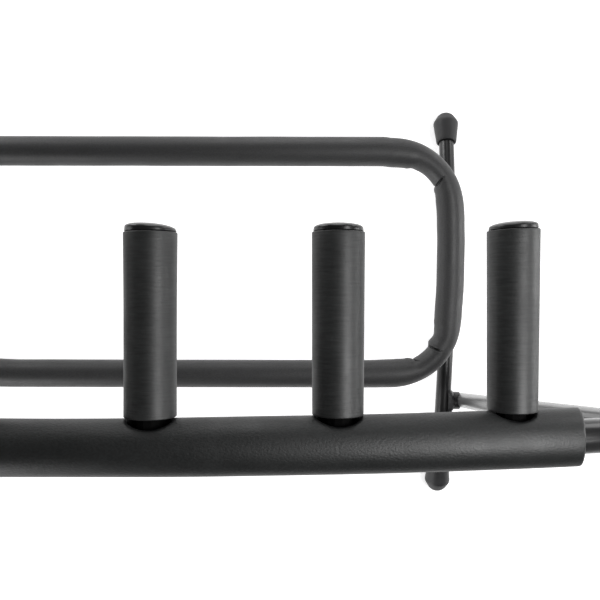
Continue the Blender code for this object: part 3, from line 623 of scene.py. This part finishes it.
def make_cradle(coats):
    """The foam sleeve round the loop, with the creases where it is bent round the corners."""
    seam_y = (CRADLE_FRONT_Y + CRADLE_REAR_Y) / 2
    path = [cradle_point(CRADLE_SPREAD, seam_y + GAP / 2)]
    bends = []
    for side, end in ((1, 1), (-1, 1), (-1, -1), (1, -1)):
        corner = cradle_corner(side, end)
        side_first = side == end
        path += corner if side_first else corner[::-1]
        bends.append((corner[0], corner[-1], end))
    path.append(cradle_point(CRADLE_SPREAD, seam_y - GAP / 2))
    path = resample(path, STEP)
    lengths = {}
    total = 0.0
    for a, b in zip(path, path[1:]):
        lengths[tuple(a)] = total
        total += (b - a).length
    folds = []
    for start, stop, end in bends:
        first = lengths[tuple(start)]
        span = lengths[tuple(stop)] - first
        shape = (FRONT_LEAN, FRONT_BEND, FRONT_FOLDS) if end < 0 else (REAR_LEAN, REAR_BEND, REAR_FOLDS)
        folds.append((first, span, shape))

    def radius_at(point, length, a):
        radius = cradle_base_radius(point.y)
        # The loop runs round its middle, so its inner side is the same turn from the hint all the way
        inward = math.cos(a - INNER_TURN)
        for first, span, shape in folds:
            at = (length - first) / span
            if -0.5 < at < 1.4:
                radius += bend_change(at, abs(span), inward, *shape)
        wobble = noise.noise(Vector((length * 18, math.cos(a), math.sin(a))))
        return max(radius + 0.00018 * wobble, SEAT_R + GAP)

    normal = cradle_slope().cross(Vector((1, 0, 0)))
    normal = normal if normal.z > 0 else -normal
    bm = sweep(path, normal, radius_at, bore=SEAT_R, sides=SIDES)
    foam = place("fine_cradle_foam", bm, BASE, "black_foam", coats["cradle"], ["cradle_foam"], smooth=70)


INNER_TURN = -math.pi / 2


def make_post(side, label, y, end_label, coats):
    """A post whose ends follow the round of the tubes that it joins."""
    base = foot_point(side, y)
    square = foot_tangent(side, y)
    start = cradle_point(side * CRADLE_SPREAD, y)
    slope = cradle_slope()
    top = start + slope * ((base - start).dot(square) / slope.dot(square))
    along = (top - base).normalized()
    matrix = frame_on(base, along, Vector((1, 0, 0)))
    reach = (top - base).length
    bm = bmesh.new()
    loops = []
    for tube_axis, origin, way in ((square, 0.0, 1), (slope, reach, -1)):
        across = tube_axis.cross(along).normalized()
        for radius in ((POST_R - 0.0012, POST_R) if way > 0 else (POST_R, POST_R - 0.0012)):
            loop = []
            for n in range(SIDES):
                a = 2 * math.pi * n / SIDES
                offset = matrix.to_3x3() @ Vector((radius * math.cos(a), radius * math.sin(a), 0))
                rise = math.sqrt(SEAT_R**2 - offset.dot(across) ** 2)
                loop.append(bm.verts.new(base + offset + along * (origin + way * rise)))
            loops.append(loop)
    for first, second in zip(loops, loops[1:] + loops[:1]):
        bridge(bm, first, second)
    name = f"cradle_post_{end_label}_{label}"
    place(f"fine_{name}", bm, BASE, "gloss_black_paint", coats["paint"], [name])


# Neck frame


def arch_frame(arc):
    angle = arc / NECK_ARC_RADIUS
    centre = Vector((0, NECK_Y, NECK_HEIGHT - NECK_ARC_RADIUS))
    outward = Vector((math.sin(angle), 0, math.cos(angle)))
    return frame_on(centre + outward * NECK_ARC_RADIUS, outward, Vector((1, 0, 0)))


def neck_corner(side):
    end = arch_frame(side * NECK_ARC_LENGTH / 2)
    along = end.to_3x3() @ Vector((side, 0, 0))
    corner = end.translation + along * ((LEG_X - abs(end.translation.x)) / abs(along.x))
    return corner, -along


def leg_direction(side):
    return (Vector((side * LEG_X, PIVOT.y, PIVOT.z)) - neck_corner(side)[0]).normalized()


def make_neck_tube(coats):
    halves = {}
    for side in (-1, 1):
        corner, back = neck_corner(side)
        down = leg_direction(side)
        bend = arc_between(corner, back, down, NECK_BEND_RADIUS)
        halves[side] = [*bend, Vector((side * LEG_X, PIVOT.y, PIVOT.z)) + down * LEG_TAIL]
    count = 60
    arch = [arch_frame(NECK_ARC_LENGTH * (k / count - 0.5)).translation for k in range(count + 1)]
    path = [*halves[-1][::-1], *arch, *halves[1]]
    bm = sweep(path, Vector((0, -1, 0)), lambda point, length, a: TUBE_R)
    place("fine_neck_frame_tube", bm, NECK, "gloss_black_paint", coats["neck_paint"], ["neck_frame_tube"])


def make_neck_foam(coats):
    half = NECK_FOAM_LENGTH / 2
    arcs = [half - FOAM_EDGE * (1 - math.cos(math.pi / 2 * k / 6)) for k in range(7)]
    count = 200
    stations = {*(-a for a in arcs), *arcs, *(arcs[-1] * (2 * k / count - 1) for k in range(count + 1))}
    reach = PEG_HOLE_HALF_WIDTH + PEG_HOLE_LIP
    for index in range(PEG_COUNT):
        stations |= {peg_arc(index) + reach * (k / 18 - 1) for k in range(37)}
    points = [arch_frame(arc).translation for arc in sorted(stations)]

    def radius_at(point, length, a):
        from_middle = length - half
        from_end = half - abs(from_middle)
        radius = NECK_FOAM_MIDDLE_R + NECK_FOAM_SWELL * (from_middle / half) ** 2
        outer = smooth_step(abs(from_middle) / 0.12)
        radius += NECK_FOAM_FULL * outer - NECK_FOAM_SAG * (1 - outer) * math.cos(a)
        radius -= hole_lip(from_middle, a)
        if from_end < NECK_FOAM_EDGE:
            away = 1 - max(from_end, 0.0) / NECK_FOAM_EDGE
            radius -= NECK_FOAM_EDGE * (1 - math.sqrt(max(0.0, 1 - away * away)))
        wobble = noise.noise(Vector((length * 14, 3 + math.cos(a), math.sin(a))))
        return radius + 0.00015 * wobble

    def shift_at(length, a, radius):
        """The slanted cut of the ends, longer on the lower side."""
        from_end = half - abs(length - half)
        near = max(0.0, 1 - from_end / NECK_CUT_REACH)
        return math.copysign(near * NECK_CUT_SLOPE * (NECK_FOAM_R + radius * math.sin(a)), length - half)

    bm = sweep(points, Vector((0, -1, 0)), radius_at, bore=SEAT_R, sides=NECK_FOAM_SIDES, shift_at=shift_at)
    holes = bmesh.new()
    for index in range(PEG_COUNT):
        oval = Matrix.Diagonal((PEG_HOLE_HALF_WIDTH, PEG_HOLE_HALF_HEIGHT, 1, 1))
        oval.translation = (0, peg_up(index) * PEG_HOLE_RISE, 0)
        profile = [(0, 0), (1, 0), (1, 2 * NECK_FOAM_R), (0, 2 * NECK_FOAM_R)]
        revolve(peg_frame(index) @ oval, profile, into=holes)
    foam = place("fine_neck_foam", bm, NECK, "black_foam", coats["foam"], ["neck_foam"], smooth=40, holes=holes)


def peg_arc(index):
    return PEG_PITCH * (index - (PEG_COUNT - 1) / 2)


def hole_lip(arc, angle):
    """How far the neck foam's surface sinks over the nearest peg hole. The angle is below the bar's front."""
    if math.cos(angle) < 0 or math.sin(angle) > 0:
        return 0.0
    across = min(abs(arc - peg_arc(index)) for index in range(PEG_COUNT)) / PEG_HOLE_HALF_WIDTH
    upright = (-NECK_FOAM_R * math.sin(angle) - PEG_HOLE_RISE) / PEG_HOLE_HALF_HEIGHT
    outside = (math.hypot(across, upright) - 1) * PEG_HOLE_HALF_HEIGHT
    near = min(max(1 - outside / PEG_HOLE_LIP, 0.0), 1.0)
    return 0.6 * PEG_HOLE_LIP * near * near * smooth_step((upright - 0.2) / 0.5)


def peg_up(index):
    """The sign of the peg frame's Y that points upwards."""
    return 1 if peg_frame(index).to_3x3().col[1].z > 0 else -1


def peg_frame(index):
    bar = arch_frame(peg_arc(index))
    upright = bar.to_3x3() @ Vector((0, 0, 1))
    along = Vector((0, -1, 0)) * math.cos(PEG_TILT) + upright * math.sin(PEG_TILT)
    return frame_on(bar.translation, along, bar.to_3x3() @ Vector((1, 0, 0)))


def lean(bm, matrix, slope, first, last):
    """Slants what lies beyond a place on the matrix's Z, rising towards its X."""
    back = matrix.inverted()
    for vert in bm.verts:
        local = back @ vert.co
        local.z += slope * local.x * smooth_step((local.z - first) / (last - first))
        vert.co = matrix @ local


def make_peg(index, coats):
    number = index + 1
    matrix = peg_frame(index)
    cap_at = PEG_REACH - PEG_CAP_HEIGHT + PEG_TRIMS[index]
    bore = PEG_TUBE_R + GAP
    start = NECK_FOAM_R + GAP
    end = cap_at - GAP
    steps = 30
    tip_r = PEG_FOAM_TIPS[index]
    first = start + PEG_FOAM_RIM
    last = end - PEG_FOAM_RIM
    profile = [(bore, start), *quarter(PEG_FOAM_ROOT_R, start, PEG_FOAM_RIM, outward=-1)[:0:-1]]
    for k in range(steps):
        share = k / steps
        radius = PEG_FOAM_ROOT_R + (tip_r - PEG_FOAM_ROOT_R) * share
        profile.append((radius - 4 * PEG_FOAM_WAISTS[index] * share * (1 - share), first + (last - first) * share))
    profile += quarter(tip_r, end, PEG_FOAM_RIM)
    profile.append((bore, end))
    bm = revolve(matrix, profile, through=True)
    lean(bm, matrix, PEG_END_SLOPES[index], end - 0.020, end - 0.001)
    foam = place(f"fine_peg_foam_{number}", bm, NECK, "black_foam", coats["peg_foam"], [f"peg_foam_{number}"], smooth=60)

    wall = 0.0018
    stem_r = PEG_TUBE_R - 0.0015
    profile = [(0, cap_at - 0.010), (stem_r, cap_at - 0.010), (stem_r, cap_at), (PEG_CAP_R - 0.0003, cap_at),
               (PEG_CAP_R, cap_at + 0.0003), (PEG_CAP_R, cap_at + 0.0006)]
    for k in range(16):
        a = math.pi / 2 * k / 16
        rise = (PEG_CAP_HEIGHT - wall) * math.sin(a)
        profile.append(((PEG_CAP_R - 0.0002) * math.cos(a) ** 0.8, cap_at + wall + rise))
    profile.append((0, cap_at + PEG_CAP_HEIGHT))
    bm = revolve(matrix, profile)
    lean(bm, matrix, PEG_END_SLOPES[index], cap_at - 0.004, cap_at - 0.0005)
    lean(bm, matrix, PEG_DOME_SLOPES[index], cap_at + 0.0006, cap_at + wall)
    place(f"fine_peg_cap_{number}", bm, NECK, "black_plastic", coats["cap"], [f"peg_cap_{number}"])


# Carried-over solids, stage, camera and light


def dress_solids(frame, coats):
    """Materials and smooth shading for the solids that show as they are."""
    by_slot = {
        "gloss_black_paint": coats["paint"],
        "black_foam": coats["foam"],
        "black_plastic": coats["plastic"],
        "black_rubber": coats["rubber"],
        "zinc_steel": coats["zinc"],
    }
    slots = {part["node"]: part["material_slot"] for part in frame["record"]["subparts"]}
    for name, node in frame["nodes"].items():
        node.data.materials.clear()
        # Peg tubes get the near-black peg coat: painted shade for the dark down the foam's peg holes
        node.data.materials.append(coats["peg"] if name.startswith("peg_tube") else by_slot[slots[name]])
        node.data.shade_smooth()
        node.data.set_sharp_from_angle(angle=math.radians(35))


def make_floor(coats):
    bm = bmesh.new()
    bmesh.ops.create_grid(bm, x_segments=8, y_segments=8, size=6)
    mesh = bpy.data.meshes.new("floor")
    bm.to_mesh(mesh)
    bm.free()
    mesh.materials.append(coats["floor"])
    floor = bpy.data.objects.new("floor", mesh)
    bpy.context.scene.collection.objects.link(floor)


def make_backdrop(coats):
    """A pale bowl round the floor's lit middle, which only the camera sees, so that it casts no light."""
    turn = BACKDROP_REACH - BACKDROP_BEND
    profile = [(BACKDROP_HOLE, BACKDROP_LIFT)]
    for k in range(17):
        a = math.pi / 2 * k / 16
        profile.append((turn + BACKDROP_BEND * math.sin(a), BACKDROP_LIFT + BACKDROP_BEND * (1 - math.cos(a))))
    profile.append((BACKDROP_REACH, BACKDROP_HEIGHT))
    bm = revolve(Matrix.Identity(4), profile, sides=96)
    mesh = bpy.data.meshes.new("backdrop")
    bm.to_mesh(mesh)
    bm.free()
    mesh.materials.append(coats["backdrop"])
    mesh.shade_smooth()
    backdrop = bpy.data.objects.new("backdrop", mesh)
    backdrop.visible_diffuse = False
    backdrop.visible_glossy = False
    backdrop.visible_transmission = False
    backdrop.visible_volume_scatter = False
    backdrop.visible_shadow = False
    bpy.context.scene.collection.objects.link(backdrop)


def make_light(name, place_at, aim, size, power):
    data = bpy.data.lights.new(name, "AREA")
    data.shape = "RECTANGLE"
    data.size, data.size_y = size
    data.energy = power
    light = bpy.data.objects.new(name, data)
    light.location = place_at
    light.rotation_euler = (Vector(aim) - Vector(place_at)).to_track_quat("-Z", "Y").to_euler()
    light.visible_camera = False
    bpy.context.scene.collection.objects.link(light)


def make_world():
    world = bpy.data.worlds.new("studio")
    world.use_nodes = True
    back = world.node_tree.nodes["Background"]
    back.inputs["Color"].default_value = (1, 1, 1, 1)
    back.inputs["Strength"].default_value = 0.05
    bpy.context.scene.world = world
    bpy.context.scene.view_settings.view_transform = "Standard"


def make_camera():
    data = bpy.data.cameras.new("camera")
    data.lens = CAMERA_LENS
    data.sensor_width = CAMERA_SENSOR
    data.clip_start = 0.01
    camera = bpy.data.objects.new("camera", data)
    camera.location = CAMERA_PLACE
    camera.rotation_euler = (0, 0, math.pi + 0.002)
    bpy.context.scene.collection.objects.link(camera)
    bpy.context.scene.camera = camera


def main():
    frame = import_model()
    coats = {
        # The same foam in three copies. Their different brightness is painted light and shade: the cradle's copy is
        # lighter and the neck bar's darker than the pegs', for how much light falls on each. Their stretch only turns
        # the fine cells along each piece.
        "foam": foam_material("foam", (0.0055, 0.006, 0.006), (0.013, 0.014, 0.014), (0.7, 1, 1)),
        "peg_foam": foam_material("peg_foam", (0.010, 0.0105, 0.0105), (0.021, 0.022, 0.022), (0.12, 1, 0.12)),
        "cradle": foam_material("cradle_foam", (0.022, 0.022, 0.0225), (0.038, 0.038, 0.039), (0.5, 1, 1)),
        "paint": paint_material("paint", 0.26, 0.34),
        "neck_paint": paint_material("neck_paint", 0.17, 0.23, sheen=0.3),
        "plastic": plastic_material("plastic", 0.36, (0.010, 0.010, 0.0105), (0.018, 0.018, 0.019)),
        # Near-black, barely reflecting coat for the peg tubes, which show only down the foam's peg holes: painted
        # shade standing in for the dark in the holes
        "peg": plastic_material("peg_oxide", 0.8, (0.002, 0.002, 0.002), (0.004, 0.004, 0.004), specular=0.03),
        "cap": plastic_material("cap_plastic", 0.28, (0.005, 0.005, 0.0052), (0.010, 0.010, 0.0104)),
        "rubber": rubber_material(),
        "zinc": zinc_material(),
        "floor": floor_material(),
        "backdrop": backdrop_material(),
    }
    dress_solids(frame, coats)
    for side, label in ((-1, "left"), (1, "right")):
        make_foot(side, label, coats)
        for end_label, y in POST_YS.items():
            make_post(side, label, y, end_label, coats)
    make_cradle(coats)
    make_neck_tube(coats)
    make_neck_foam(coats)
    for index in range(PEG_COUNT):
        make_peg(index, coats)

    make_floor(coats)
    make_backdrop(coats)
    for light in LIGHTS:
        make_light(*light)
    make_world()
    make_camera()


main()
